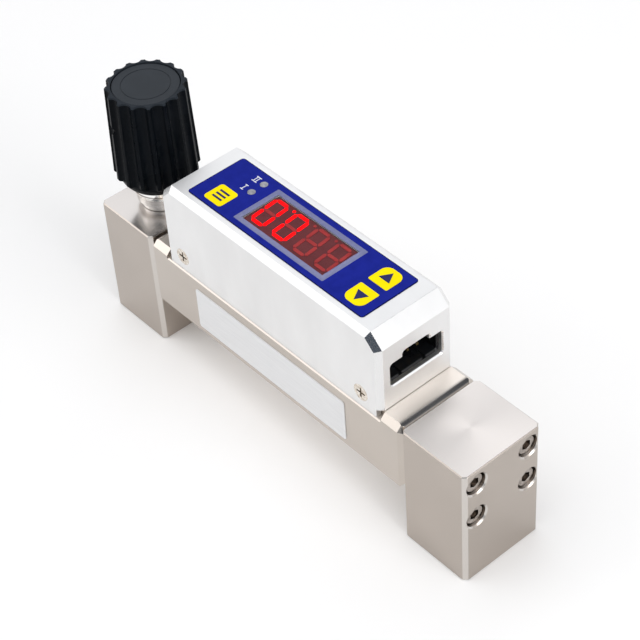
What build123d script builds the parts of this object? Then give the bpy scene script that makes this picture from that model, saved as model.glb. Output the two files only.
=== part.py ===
from build123d import *
from math import cos, pi, radians, sin, tan
import os

# A gas mass flow controller: a steel flow body between two taller end blocks, an electronics
# cover on top and a hand needle valve on one block.  Millimetres.
# X runs along the flow, the valve is at -X, the label side is -Y, +Z is up.
# Origin: centre of the footprint, on the surface that the end blocks stand on.

# ---- overall ----
body_length = 136.0
body_width = 24.4
block_length = 21.0
block_height = 36.0
leg_height = 16.0
edge_break = 0.3
block_corner = 1.0

# ---- flow body ----
bar_end_chamfer = 1.2
bar_top_chamfer = 1.6
bar_roll_length = 2.3
bar_roll_drop = 1.2
flow_bore_radius = 3.0
block_bore_radius = 2.5
land_height = 4.0
skirt_drop = 2.2

# ---- electronics cover ----
cover_length = 80.0
cover_side_inset = 0.35
cover_height = 23.0
cover_wall = 1.5
cover_top_wall = 2.0
cover_end_chamfer = 3.7
cover_side_chamfer = 1.45
cover_fit = 0.15
cover_end_gap = 0.15

# ---- panel ----
panel_end_margin = 4.5
panel_side_margin = 1.45
panel_corner = 0.9
film_thickness = 0.4
film_proud = 0.1
film_fit = 0.03
print_thickness = 0.05

# ---- display ----
window_margin = 1.6
window_side_margin = 1.45
window_corner = 0.3
cutout_gap = 0.1
cutout_corner = 0.6
module_end_trim = 0.7
module_side_margin = 0.8
module_corner = 0.4
module_gap = 0.05
digit_height = 9.8
digit_width = 5.15
digit_shift = 0.3
digit_pitch = 7.62
digit_count = 4
lit_digits = 2
digit_slant = 5.0
segment_width = 0.95
segment_gap = 0.16
segment_height = 0.12
point_radius = 0.42

# ---- keys ----
key_size = 6.3
key_corner = 0.9
key_round_corner = 2.2
pad_thickness = 0.1
inner_key_corner = 0.35
menu_key_inset = 7.4
menu_key_y = -4.3
arrow_key_inset = 5.85
arrow_key_y = 4.15
symbol_size = 3.6
menu_bar_length = 3.4
menu_bar_width = 0.6
menu_bar_pitch = 1.25
switch_size = 3.4
switch_height = 3.4
switch_floor = 1.0
switch_lid = 0.6
plunger_radius = 1.0
plunger_guide_gap = 0.05
plunger_top_gap = 0.3
plunger_floor_gap = 0.15
plunger_collar = 0.25
plunger_collar_gap = 0.1
key_travel = 0.25

# ---- status lights ----
light_window_gap = 3.9
light_y = 3.8
light_pitch = 4.0
light_radius = 1.05
light_dome = 0.45
light_fit = 0.03
light_rim = 0.05
led_chip_size = 1.6
led_chip_height = 0.8
mark_offset = 2.75
mark_height = 2.1
mark_stroke = 0.28
mark_serif = 1.0
mark_pitch = 0.75

# ---- boards ----
board_spacer_height = 0.5
main_board_thickness = 1.0
main_board_end_gap = 1.2
main_board_side_gap = 1.05
display_board_thickness = 1.6
display_board_end_margin = 2.4
display_board_socket_gap = 0.65
display_board_side_gap = 1.25
post_length = 6.93
post_across_flats = 3.2
post_key_gap = 4.2
post_module_gap = 4.4
post_edge = 1.8
board_hole_gap = 0.1
header_pin_count = 6
header_spacing = 2.0
header_x = 8.0
header_edge = 1.9
header_body = 1.9
header_body_height = 2.0
pin_size = 0.5
controller_chip_size = 7.0
controller_chip_height = 1.2
controller_chip_gap = 8.5
regulator_length = 5.0
regulator_width = 4.0
regulator_height = 1.5
regulator_gap = 9.5
regulator_y_up = 2.5
regulator_y_down = 4.0
reference_length = 3.0
reference_width = 5.0
reference_height = 1.4
reference_gap = 18.5
reference_y = 3.0

# ---- connector ----
socket_width = 16.2
socket_height = 6.9
socket_key_width = 8.4
socket_key_height = 1.7
socket_corner = 0.8
socket_wall = 0.8
socket_step = 0.3
socket_rim = 0.35
socket_lead = 0.45
socket_depth = 8.0
socket_back = 1.2
socket_groove_y = 3.75
socket_groove_width = 1.1
socket_groove_depth = 0.4
contact_pitch = 3.0
contact_columns = 4
contact_size = 0.64
contact_reach = 3.6
contact_tail = 1.6

# ---- screws: shank radius, head radius, head height ----
m3_radius = 1.5
m3_head_radius = 2.75
m3_head_height = 3.0
m3_socket = 2.5
m3_socket_depth = 1.5
m3_length = 22.0
m3_side_edge = 3.9
m3_top_edge = 4.55
counterbore_radius = 3.0
counterbore_depth = 3.9
counterbore_chamfer = 0.4
m25_radius = 1.25
m25_head_radius = 2.35
m25_length = 6.0
m25_recess = 2.6
cover_screw_inset = 6.7
cover_screw_rise = 2.3
m16_radius = 0.8
m16_head_radius = 1.6
m16_head_height = 1.0
m16_length = 3.4
cross_width = 0.5
cross_depth = 0.8
thread_gap = 0.02
clearance_gap = 0.15

# ---- sensor ----
sensor_x = -6.0
sensor_port_radius = 5.0
sensor_fit = 0.08
sensor_flange_length = 20.0
sensor_flange_width = 11.0
sensor_flange_thickness = 2.0
sensor_screw_x = 7.6
blade_width = 4.0
blade_thickness = 0.6
blade_fit = 0.05
chip_size = 2.0
chip_thickness = 0.3

# ---- flow conditioning ----
screen_radius = 5.0
screen_fit = 0.05
screen_thickness = 0.4
screen_count = 3
screen_pitch_holes = 1.3
screen_hole_radius = 0.38
spacer_length = 2.0
spacer_wall = 0.9
straightener_length = 6.0
straightener_hole_radius = 0.85
straightener_hole_pitch = 2.1

# ---- seals ----
face_seal_land = 1.1
face_seal_section = 1.8
seal_squeeze = 0.25
seal_groove_gap = 0.2
sensor_groove_depth = 1.2
sensor_groove_height = 1.6
sensor_groove_rise = 3.0
sensor_seal_gap = 0.1
sensor_plug_gap = 0.3

# ---- ports and base ----
port_radius = 4.4
port_depth = 9.0
port_chamfer = 0.6
foot_hole_radius = 1.25
foot_hole_depth = 8.0
foot_hole_edge = 3.4

# ---- needle valve ----
chamber_radius = 3.5
chamber_depth = 10.0
seat_height = 3.0
seat_fit = 0.02
orifice_radius = 1.2
needle_gap = 0.05
needle_radius = 2.0
needle_tip_radius = 0.5
needle_tip_length = 3.6
needle_seat_gap = 0.2
needle_shoulder = 1.0
needle_flat = 0.5
needle_neck_radius = 1.2
needle_head_radius = 1.9
needle_head_height = 1.8
bonnet_thread_radius = 5.0
bonnet_flow_gap = 0.5
bonnet_guide_length = 3.0
bonnet_neck_radius = 5.4
bonnet_neck_height = 2.2
bonnet_flange_radius = 6.4
bonnet_flange_height = 2.0
bonnet_spigot_height = 6.0
bonnet_groove_rise = 1.0
bonnet_groove_height = 1.4
bonnet_groove_depth = 1.0
gland_step = 1.0
gland_step_height = 0.8
gland_radius = 7.0
gland_height = 2.2
stem_radius = 3.0
running_gap = 0.05
packing_height = 1.1
packing_washer_height = 0.8
stem_washer_gap = 1.1
swivel_gap = 0.08
stem_lip = 1.0

# ---- knob ----
knob_gland_gap = 0.2
knob_height = 29.9
knob_top_radius = 10.45
knob_rib_radius = 11.2
knob_rib_start = 3.8
knob_foot_radius = 7.3
knob_cavity_radius = 6.2
knob_cavity_height = 8.0
knob_top_chamfer = 0.35
flute_count = 16
flute_radius = 1.9
flute_depth = 1.15
knob_cap_radius = 8.7
knob_cap_thickness = 1.2
knob_cap_sink = 0.25
knob_cap_groove = 6.4
stem_cap_gap = 2.0
set_screw_drop = 10.2
set_screw_angle = 254.0
set_screw_radius = 1.5
set_screw_length = 5.0
set_screw_socket = 1.5
set_screw_socket_depth = 1.5

# ---- label ----
label_length = 56.2
label_height = 12.8
label_thickness = 0.2
label_corner = 0.5
label_x = -0.7
label_drop = 1.6

# ---- worked out from the sizes above ----
half_length = body_length / 2
half_width = body_width / 2
block_x = half_length - block_length / 2
bar_length = body_length - 2 * block_length
bar_half = bar_length / 2
bore_z = (leg_height + block_height) / 2
m3_spread_y = half_width - m3_side_edge
m3_spread_z = (block_height - leg_height) / 2 - m3_top_edge
foot_hole_y = half_width - foot_hole_edge
face_seal_radius = screen_radius + face_seal_land
cover_half = cover_length / 2
cover_half_width = half_width - cover_side_inset
cover_top_z = block_height + cover_height
cover_inner_half = cover_half - cover_wall
cover_inner_half_width = cover_half_width - cover_wall
cover_ceiling_z = cover_top_z - cover_top_wall
land_top_z = block_height + land_height
land_half = cover_inner_half - cover_fit
land_half_width = cover_inner_half_width - cover_fit
skirt_z = block_height - skirt_drop
cover_screw_x = cover_half - cover_screw_inset
cover_screw_z = block_height + cover_screw_rise
panel_length = 2 * (cover_half - cover_end_chamfer - panel_end_margin)
panel_width = 2 * (cover_half_width - cover_side_chamfer - panel_side_margin)
module_length = digit_count * digit_pitch - 2 * module_end_trim
module_width = digit_height + 2 * module_side_margin
cutout_length = module_length + 2 * cutout_gap
cutout_width = module_width + 2 * cutout_gap
window_length = cutout_length + 2 * window_margin
window_width = cutout_width + 2 * window_side_margin
menu_key_x = menu_key_inset - panel_length / 2
arrow_key_x = panel_length / 2 - arrow_key_inset
light_x = -window_length / 2 - light_window_gap
film_top_z = cover_top_z + film_proud
film_bottom_z = film_top_z - film_thickness
pad_top_z = film_top_z + pad_thickness
main_board_z = land_top_z + board_spacer_height
main_board_top_z = main_board_z + main_board_thickness
display_board_z = main_board_top_z + post_length
display_board_top_z = display_board_z + display_board_thickness
module_top_z = film_bottom_z - segment_height - module_gap
main_board_half = cover_inner_half - main_board_end_gap
main_board_half_width = cover_inner_half_width - main_board_side_gap
display_board_half_width = cover_inner_half_width - display_board_side_gap
post_x_left = menu_key_x - post_key_gap
post_x_right = module_length / 2 + post_module_gap
post_y = display_board_half_width - post_edge
header_y = main_board_half_width - header_edge
socket_front_x = cover_inner_half - cover_fit / 3
socket_back_x = socket_front_x - socket_depth
socket_bottom_z = main_board_top_z + socket_wall
contact_low_z = socket_bottom_z + (socket_height - contact_pitch) / 2
gland_z = block_height + bonnet_neck_height + bonnet_flange_height
gland_top_z = gland_z + gland_step_height + gland_height
gland_step_radius = gland_radius - gland_step
knob_bottom_z = gland_top_z + knob_gland_gap
knob_top_z = knob_bottom_z + knob_height
knob_skirt_radius = knob_rib_radius - flute_depth
chamber_floor_z = bore_z - chamber_depth
seat_top_z = chamber_floor_z + seat_height
valve_x = -block_x
inlet_x = block_x
bonnet_bottom_z = bore_z + block_bore_radius + bonnet_flow_gap
packing_z = bonnet_bottom_z + bonnet_guide_length
stem_bottom_z = packing_z + packing_height + packing_washer_height + stem_washer_gap
stem_top_z = knob_top_z - knob_cap_sink - knob_cap_thickness - stem_cap_gap
set_screw_z = knob_top_z - set_screw_drop
label_z = bore_z - label_drop


# ---- shapes used by several pieces ----

def box_between(low, high):
    """A box from its lowest to its highest corner."""
    size = [b - a for a, b in zip(low, high)]
    middle = [(a + b) / 2 for a, b in zip(low, high)]
    return Pos(*middle) * Box(*size)


def rod_z(x, y, low, high, radius):
    """An upright round rod."""
    return Pos(x, y, (low + high) / 2) * Cylinder(radius, high - low)


def rod_x(y, z, low, high, radius):
    """A round rod along X."""
    return Pos((low + high) / 2, y, z) * Rot(0, 90, 0) * Cylinder(radius, high - low)


def rod_y(x, z, low, high, radius):
    """A round rod along Y."""
    return Pos(x, (low + high) / 2, z) * Rot(90, 0, 0) * Cylinder(radius, high - low)


def turned(outline):
    """A solid turned about Z from an outline of (radius, height) points."""
    return revolve(Plane.XZ * make_face(Polyline(*outline, close=True)), Axis.Z)


def hexagon(across_flats, low, high):
    """An upright hexagonal prism on the Z axis."""
    outline = RegularPolygon(across_flats / 2, 6, major_radius=False)
    return extrude(Pos(0, 0, low) * outline, high - low)


def plate(length, width, corner, low, high):
    """A flat plate with rounded corners, centred on the Z axis."""
    return extrude(Pos(0, 0, low) * RectangleRounded(length, width, corner), high - low)


def seal_ring(inner, outer, low, high):
    """A round seal about Z, squeezed to an oval section."""
    middle = Pos((inner + outer) / 2, (low + high) / 2)
    return revolve(Plane.XZ * middle * Ellipse((outer - inner) / 2, (high - low) / 2), Axis.Z)


def cross_recess(top, head_radius):
    """The cross-shaped driver recess in a screw head whose top is at the given height."""
    arm = box_between((-0.62 * head_radius, -cross_width / 2, top - cross_depth),
                      (0.62 * head_radius, cross_width / 2, top + 1))
    return arm + Rot(0, 0, 90) * arm


def cap_screw():
    """A socket cap screw along Z: the head's seat is at 0 and the shank points down."""
    head = Cylinder(m3_head_radius, m3_head_height, align=(Align.CENTER, Align.CENTER, Align.MIN))
    head = chamfer(head.edges().group_by(Axis.Z)[-1], 0.3)
    head -= hexagon(m3_socket, m3_head_height - m3_socket_depth, m3_head_height + 1)
    return head + rod_z(0, 0, -m3_length, 0, m3_radius)


def countersunk_screw():
    """A countersunk cross-recess screw along Z: the head's face is at 0, the shank points down."""
    cone = m25_head_radius - m25_radius
    body = turned([(0, 0), (m25_head_radius, 0), (m25_radius, -cone),
                   (m25_radius, -m25_length + 0.3), (m25_radius - 0.3, -m25_length), (0, -m25_length)])
    return body - cross_recess(0, m25_head_radius)


def pan_screw():
    """A small pan-head screw along Z: the head's seat is at 0 and the shank points down."""
    head = turned([(0, 0), (m16_head_radius, 0), (m16_head_radius, 0.6 * m16_head_height),
                   (0.7 * m16_head_radius, m16_head_height), (0, m16_head_height)])
    head -= cross_recess(m16_head_height, m16_head_radius)
    return head + rod_z(0, 0, -m16_length, 0, m16_radius)


# ---- where repeated things sit ----

def block_screw_places():
    """Y and Z of the four screws that hold an end block to the flow body."""
    return [(sy * m3_spread_y, bore_z + sz * m3_spread_z) for sy in (-1, 1) for sz in (-1, 1)]


def cover_screw_places():
    """X and side of the four screws through the cover's skirts."""
    return [(sx * cover_screw_x, side) for sx in (-1, 1) for side in (-1, 1)]


def post_places():
    """X and Y of the four posts between the boards."""
    return [(x, side * post_y) for x in (post_x_left, post_x_right) for side in (-1, 1)]


def key_places():
    """Name, X and Y of the three keys."""
    return [("menu", menu_key_x, menu_key_y),
            ("up", arrow_key_x, -arrow_key_y),
            ("down", arrow_key_x, arrow_key_y)]


def light_places():
    """X and Y of the two status lights."""
    return [(light_x, light_y - light_pitch / 2), (light_x, light_y + light_pitch / 2)]


# ---- end blocks ----

def end_block(side):
    """The machined block at one end, with its port, bores, screw holes and face-seal groove."""
    centre = side * block_x
    inner = side * bar_half
    outer = side * half_length
    block = box_between((centre - block_length / 2, -half_width, 0),
                        (centre + block_length / 2, half_width, block_height))
    block = chamfer(block.edges().filter_by(Axis.Z), block_corner)
    rim = block.edges().group_by(Axis.Z)
    block = chamfer(rim[0] + rim[-1], edge_break)
    block -= rod_z(centre, 0, -1, port_depth, port_radius)
    block -= Pos(centre, 0, 0) * turned([(0, 0), (port_radius + port_chamfer, 0),
                                         (port_radius, port_chamfer), (0, port_chamfer)])
    low, high = sorted((centre, inner))
    block -= rod_x(0, bore_z, low, high, block_bore_radius)
    block -= face_seal_groove(side)
    for y, z in block_screw_places():
        low, high = sorted((inner, outer))
        block -= rod_x(y, z, low, high, m3_radius + clearance_gap)
        seat = outer - side * counterbore_depth
        low, high = sorted((seat, outer))
        block -= rod_x(y, z, low, high, counterbore_radius)
        mouth = turned([(0, 0), (counterbore_radius, 0),
                        (counterbore_radius + counterbore_chamfer, counterbore_chamfer),
                        (0, counterbore_chamfer)])
        block -= Pos(outer - side * counterbore_chamfer, y, z) * Rot(0, side * 90, 0) * mouth
    for y in (-foot_hole_y, foot_hole_y):
        block -= rod_z(centre, y, 0, foot_hole_depth, foot_hole_radius)
    return block


def face_seal_groove(side):
    """The ring groove for the seal between an end block and the flow body."""
    depth = face_seal_section * (1 - seal_squeeze)
    outer = face_seal_radius + face_seal_section / 2 + seal_groove_gap
    inner = face_seal_radius - face_seal_section / 2 - seal_groove_gap
    low, high = sorted((side * bar_half, side * (bar_half + depth)))
    return rod_x(0, bore_z, low, high, outer) - rod_x(0, bore_z, low, high, inner)


def inlet_block():
    """The block at +X, with a plain passage up from its port."""
    passage = rod_z(inlet_x, 0, port_depth, bore_z + block_bore_radius, block_bore_radius)
    return end_block(1) - passage


def valve_block():
    """The block at -X, bored from the top for the valve's bonnet, chamber and seat."""
    block = end_block(-1)
    block -= rod_z(valve_x, 0, port_depth, chamber_floor_z, block_bore_radius)
    block -= rod_z(valve_x, 0, chamber_floor_z, bonnet_bottom_z, chamber_radius)
    block -= rod_z(valve_x, 0, bonnet_bottom_z, block_height, bonnet_thread_radius + thread_gap)
    return block


def block_screws(side):
    """Four cap screws through an end block into the flow body."""
    seat = side * (half_length - counterbore_depth)
    return [Pos(seat, y, z) * Rot(0, side * 90, 0) * cap_screw() for y, z in block_screw_places()]


def face_seal(side):
    """The seal ring between an end block and the flow body."""
    depth = face_seal_section * (1 - seal_squeeze)
    ring = seal_ring(face_seal_radius - face_seal_section / 2, face_seal_radius + face_seal_section / 2,
                     0, depth)
    return Pos(side * bar_half, 0, bore_z) * Rot(0, side * 90, 0) * ring


# ---- flow body ----

def flow_body():
    """The bar with its flow bore, the raised land under the cover, and all its holes."""
    bar = box_between((-bar_half, -half_width, leg_height), (bar_half, half_width, block_height))
    bar = chamfer(bar.edges().filter_by(Axis.X).group_by(Axis.Z)[-1], bar_top_chamfer)
    ends = bar.edges().group_by(Axis.X)
    sides = ends[0] + ends[-1]
    bar = chamfer([e for e in sides if e.center().Z < block_height - 0.01], bar_end_chamfer)
    bar = chamfer(bar.edges().filter_by(Axis.X).group_by(Axis.Z)[0], edge_break)
    for side in (-1, 1):
        bar -= end_roll(side)
        bar -= skirt_rebate(side)
    bar += box_between((-land_half, -land_half_width, block_height - 1),
                       (land_half, land_half_width, land_top_z))
    bar -= rod_x(0, bore_z, -bar_half, bar_half, flow_bore_radius)
    bar -= rod_x(0, bore_z, bar_half - conditioner_length(), bar_half, screen_radius)
    bar -= sensor_port()
    for side in (-1, 1):
        for y, z in block_screw_places():
            depth = m3_length - block_length + counterbore_depth + 1
            low, high = sorted((side * (bar_half - depth), side * bar_half))
            bar -= rod_x(y, z, low, high, m3_radius + thread_gap)
    for x, side in cover_screw_places():
        low, high = sorted((side * (cover_half_width - m25_length - 0.5), side * (half_width + 1)))
        bar -= rod_y(x, cover_screw_z, low, high, m25_radius + thread_gap)
    for x, y in post_places():
        bar -= rod_z(x, y, land_top_z - m16_length, land_top_z, m16_radius + thread_gap)
    return bar


def end_roll(side):
    """What is cut off above the bar's top end, leaving a round roll down to the block."""
    radius = (bar_roll_length ** 2 + bar_roll_drop ** 2) / (2 * bar_roll_drop)
    low, high = sorted((side * (bar_half - bar_roll_length), side * (bar_half + 1)))
    above = box_between((low, -half_width - 1, block_height - radius),
                        (high, half_width + 1, block_height + 1))
    return above - rod_y(side * (bar_half - bar_roll_length), block_height - radius,
                         -half_width - 2, half_width + 2, radius)


def skirt_rebate(side):
    """The step along the bar's side that the cover's skirt sits in, with its outer edge bevelled."""
    reach = cover_half + cover_fit
    low, high = sorted((side * land_half_width, side * (half_width + 1)))
    step = box_between((-reach, low, skirt_z), (reach, high, block_height + 1))
    bevel = make_face(Polyline((side * cover_half_width, skirt_z), (side * half_width, skirt_z),
                               (side * half_width, skirt_z - cover_side_inset), close=True))
    return step + extrude(Plane.YZ * bevel, reach, both=True)


def sensor_port():
    """The upright bore and flange pocket that take the sensor holder."""
    pocket_z = land_top_z - sensor_flange_thickness
    port = rod_z(sensor_x, 0, bore_z, pocket_z, sensor_port_radius)
    pocket = plate(sensor_flange_length + 2 * sensor_fit, sensor_flange_width + 2 * sensor_fit,
                   1 + sensor_fit, pocket_z, land_top_z)
    port += Pos(sensor_x, 0, 0) * pocket
    for side in (-1, 1):
        port += rod_z(sensor_x + side * sensor_screw_x, 0, pocket_z - m16_length, pocket_z,
                      m16_radius + thread_gap)
    return port


# ---- flow conditioning at the inlet ----

def conditioner_length():
    """Depth of the counterbore that holds the screens, spacers and straightener."""
    return screen_count * (screen_thickness + spacer_length) + straightener_length


def hole_grid(radius, pitch, limit, low, high):
    """Round holes along X on a hexagonal grid, inside a limiting radius about the flow axis."""
    holes = []
    steps = int(limit / pitch) + 1
    for row in range(-steps, steps + 1):
        for column in range(-steps, steps + 1):
            y = pitch * (column + (row % 2) / 2)
            z = pitch * row * cos(pi / 6)
            if (y * y + z * z) ** 0.5 + radius < limit:
                holes.append(rod_x(y, bore_z + z, low, high, radius))
    return holes


def flow_straightener():
    """A drilled disc at the bottom of the counterbore that straightens the flow."""
    low = bar_half - conditioner_length()
    high = low + straightener_length
    outer = screen_radius - screen_fit
    disc = rod_x(0, bore_z, low, high, outer)
    return disc - hole_grid(straightener_hole_radius, straightener_hole_pitch, outer - 0.3, low, high)


def screens_and_spacers():
    """The perforated screens and the rings between them, from the straightener outward."""
    screens = []
    spacers = []
    outer = screen_radius - screen_fit
    start = bar_half - conditioner_length() + straightener_length
    for index in range(screen_count):
        low = start + index * (screen_thickness + spacer_length)
        high = low + spacer_length
        spacers.append(rod_x(0, bore_z, low, high, outer) - rod_x(0, bore_z, low, high, outer - spacer_wall))
        disc = rod_x(0, bore_z, high, high + screen_thickness, outer)
        screens.append(disc - hole_grid(screen_hole_radius, screen_pitch_holes, outer - spacer_wall,
                                        high, high + screen_thickness))
    return screens, spacers


# ---- sensor ----

def sensor_holder():
    """The plug and flange that carry the sensor blade into the flow bore."""
    flange_z = land_top_z - sensor_flange_thickness
    plug_z = bore_z + flow_bore_radius + sensor_plug_gap
    holder = plate(sensor_flange_length, sensor_flange_width, 1.0, flange_z, land_top_z)
    holder += rod_z(0, 0, plug_z, flange_z, sensor_port_radius - sensor_fit)
    groove = sensor_groove()
    holder -= rod_z(0, 0, groove[2], groove[3], groove[1] + 1) - rod_z(0, 0, groove[2], groove[3], groove[0])
    slot_x = blade_thickness / 2 + blade_fit
    slot_y = blade_width / 2 + blade_fit
    holder -= box_between((-slot_x, -slot_y, plug_z - 1), (slot_x, slot_y, land_top_z + 1))
    for side in (-1, 1):
        seat = land_top_z - m16_head_height
        holder -= rod_z(side * sensor_screw_x, 0, seat, land_top_z, m16_head_radius + thread_gap)
        holder -= rod_z(side * sensor_screw_x, 0, flange_z, seat, m16_radius + board_hole_gap)
    return Pos(sensor_x, 0, 0) * holder


def sensor_groove():
    """Inner radius, outer radius, bottom and top of the holder's seal groove."""
    bottom = bore_z + flow_bore_radius + sensor_groove_rise
    inner = sensor_port_radius - sensor_groove_depth
    return inner, sensor_port_radius, bottom, bottom + sensor_groove_height


def sensor_seal():
    """The seal ring round the sensor holder's plug."""
    inner, outer, low, high = sensor_groove()
    return Pos(sensor_x, 0, 0) * seal_ring(inner, outer, low + sensor_seal_gap, high - sensor_seal_gap)


def sensor_blade():
    """The upright ceramic blade that stands in the flow and is soldered into the main board."""
    return box_between((sensor_x - blade_thickness / 2, -blade_width / 2, bore_z - chip_size),
                       (sensor_x + blade_thickness / 2, blade_width / 2, main_board_top_z + 0.5))


def sensor_chip():
    """The sensing chip on the blade's upstream face, at the middle of the flow bore."""
    face = sensor_x + blade_thickness / 2
    return box_between((face, -chip_size / 2, bore_z - chip_size / 2),
                       (face + chip_thickness, chip_size / 2, bore_z + chip_size / 2))


def sensor_screws():
    """Two pan-head screws that hold the sensor holder down."""
    seat = land_top_z - m16_head_height
    return [Pos(sensor_x + side * sensor_screw_x, 0, seat) * pan_screw() for side in (-1, 1)]


# ---- electronics cover ----

def cover_shell():
    """The cover without its holes: sloped ends, bevelled sides, hollow and open below."""
    low = skirt_z
    high = cover_top_z
    slope = cover_end_chamfer
    outline = Polyline((-cover_half, low), (-cover_half, high - slope), (-cover_half + slope, high),
                       (cover_half - slope, high), (cover_half, high - slope), (cover_half, low),
                       close=True)
    shell = extrude(Plane.XZ * make_face(outline), cover_half_width, both=True)
    for side in (0, -1):
        rim = shell.faces().sort_by(Axis.Y)[side].edges().sort_by(Axis.Z)[1:]
        shell = chamfer(rim, cover_side_chamfer)
    shell -= box_between((-cover_inner_half, -cover_inner_half_width, low - 1),
                         (cover_inner_half, cover_inner_half_width, cover_ceiling_z - cover_end_chamfer + 1))
    inner_slope = cover_end_chamfer - cover_top_wall / 2
    upper = Polyline((-cover_inner_half, low), (-cover_inner_half, cover_ceiling_z - inner_slope),
                     (-cover_inner_half + inner_slope, cover_ceiling_z),
                     (cover_inner_half - inner_slope, cover_ceiling_z),
                     (cover_inner_half, cover_ceiling_z - inner_slope), (cover_inner_half, low),
                     close=True)
    shell -= extrude(Plane.XZ * make_face(upper), cover_inner_half_width, both=True)
    end_z = block_height + cover_end_gap
    for side in (-1, 1):
        near, far = sorted((side * cover_inner_half, side * (cover_half + 1)))
        shell -= box_between((near, -half_width - 1, low - 1), (far, half_width + 1, end_z))
    return shell


def housing_cover():
    """The cover with its panel recess, display window, key, light, screw and socket holes."""
    cover = cover_shell()
    cover -= plate(panel_length + 2 * film_fit, panel_width + 2 * film_fit, panel_corner + film_fit,
                   film_bottom_z, cover_top_z + 1)
    cover -= plate(cutout_length, cutout_width, cutout_corner, cover_ceiling_z - 1, cover_top_z)
    for _, x, y in key_places():
        cover -= rod_z(x, y, cover_ceiling_z - 1, cover_top_z, plunger_radius + plunger_guide_gap)
    for x, y in light_places():
        cover -= rod_z(x, y, cover_ceiling_z - 1, cover_top_z, light_radius + light_fit)
    sink = m25_head_radius - m25_radius
    for x, side in cover_screw_places():
        low, high = sorted((side * cover_inner_half_width, side * cover_half_width))
        cover -= rod_y(x, cover_screw_z, low - 0.5, high + 0.5, m25_radius + clearance_gap)
        cone = turned([(0, 0), (m25_head_radius, 0), (m25_radius, -sink), (0, -sink)])
        cover -= Pos(x, side * cover_half_width, cover_screw_z) * Rot(-side * 90, 0, 0) * cone
    opening = extrude(Plane.YZ * socket_outline(0), cover_wall + 1)
    cover -= Pos(cover_inner_half - 0.5, 0, 0) * opening
    end_face = cover.faces().sort_by(Axis.X)[-1]
    return chamfer(end_face.inner_wires()[0].edges(), socket_rim)


def socket_outline(grow):
    """The socket's outline in Y and Z, grown outward by a wall: a slot with a key on top."""
    half = socket_width / 2 + grow
    key = socket_key_width / 2 + grow
    low = socket_bottom_z - grow
    shoulder = socket_bottom_z + socket_height + grow
    top = shoulder + socket_key_height
    face = make_face(Polyline((-half, low), (half, low), (half, shoulder), (key, shoulder),
                              (key, top), (-key, top), (-key, shoulder), (-half, shoulder), close=True))
    corner = max(socket_corner + grow, 0.2)
    rounded = [v for v in face.vertices() if abs(abs(v.X) - half) < 0.01 or abs(v.Y - top) < 0.01]
    return fillet(rounded, corner)


def cover_screws():
    """Four countersunk screws, two through each skirt."""
    return [Pos(x, side * cover_half_width, cover_screw_z) * Rot(-side * 90, 0, 0) * countersunk_screw()
            for x, side in cover_screw_places()]


# ---- front panel ----

def panel_overlay():
    """The blue film with its window and the two light holes."""
    film = plate(panel_length, panel_width, panel_corner, film_bottom_z, film_top_z)
    film -= plate(window_length, window_width, window_corner, film_bottom_z - 1, film_top_z + 1)
    for x, y in light_places():
        film -= rod_z(x, y, film_bottom_z - 1, film_top_z + 1, light_radius + light_fit)
    return film


def display_window():
    """The clear film that fills the overlay's window."""
    return plate(window_length - 2 * film_fit, window_width - 2 * film_fit, window_corner,
                 film_bottom_z, film_top_z - film_fit)


def key_pad(name, x, y):
    """A raised key area on the overlay: square, or rounded on its outer side."""
    face = Rectangle(key_size, key_size)
    if name == "menu":
        face = fillet(face.vertices(), key_corner)
    else:
        ends = face.vertices().group_by(Axis.Y)
        inner, outer = (ends[0], ends[-1]) if y > 0 else (ends[-1], ends[0])
        face = fillet(outer, key_round_corner)
        corners = [v for v in face.vertices() if abs(v.Y - inner[0].Y) < 0.01]
        face = fillet(corners, inner_key_corner)
    return extrude(Pos(x, y, film_top_z) * face, pad_thickness)


def key_symbols():
    """Printed marks on the keys: two arrowheads and three bars."""
    marks = []
    for name, x, y in key_places():
        if name == "menu":
            for step in (-1, 0, 1):
                bar = Rectangle(menu_bar_length, menu_bar_width)
                marks.append(extrude(Pos(x, y + step * menu_bar_pitch, pad_top_z) * bar, print_thickness))
        else:
            turn = -90 if name == "up" else 90
            arrow = RegularPolygon(symbol_size / 3 ** 0.5, 3)
            marks.append(extrude(Pos(x, y, pad_top_z) * Rot(0, 0, turn) * arrow, print_thickness))
    return marks


def panel_marks():
    """Printed numerals beside the lights: one stroke and two strokes, with serifs."""
    marks = []
    for (x, y), strokes in zip(light_places(), (1, 2)):
        middle = x - mark_offset
        width = mark_serif + (strokes - 1) * mark_pitch
        mark = Sketch()
        for index in range(strokes):
            offset = (index - (strokes - 1) / 2) * mark_pitch
            mark += Pos(offset, 0) * Rectangle(mark_stroke, mark_height)
        for side in (-1, 1):
            mark += Pos(0, side * (mark_height - mark_stroke) / 2) * Rectangle(width, mark_stroke)
        marks.append(extrude(Pos(middle, y, film_top_z) * mark, print_thickness))
    return marks


def light_pipes():
    """Two clear rods that carry the status lights up to low domes on the panel."""
    pipes = []
    low = display_board_top_z + led_chip_height
    sphere = (light_radius ** 2 + light_dome ** 2) / (2 * light_dome)
    for x, y in light_places():
        top = film_top_z + light_rim
        dome = Pos(0, 0, top + light_dome - sphere) * Sphere(sphere)
        dome &= rod_z(0, 0, top, top + light_dome, light_radius)
        pipes.append(Pos(x, y, 0) * (rod_z(0, 0, low, top, light_radius) + dome))
    return pipes


def led_chips():
    """The two small lamps on the display board under the light pipes."""
    half = led_chip_size / 2
    return [box_between((x - half, y - half, display_board_top_z),
                        (x + half, y + half, display_board_top_z + led_chip_height))
            for x, y in light_places()]


# ---- display ----

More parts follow.
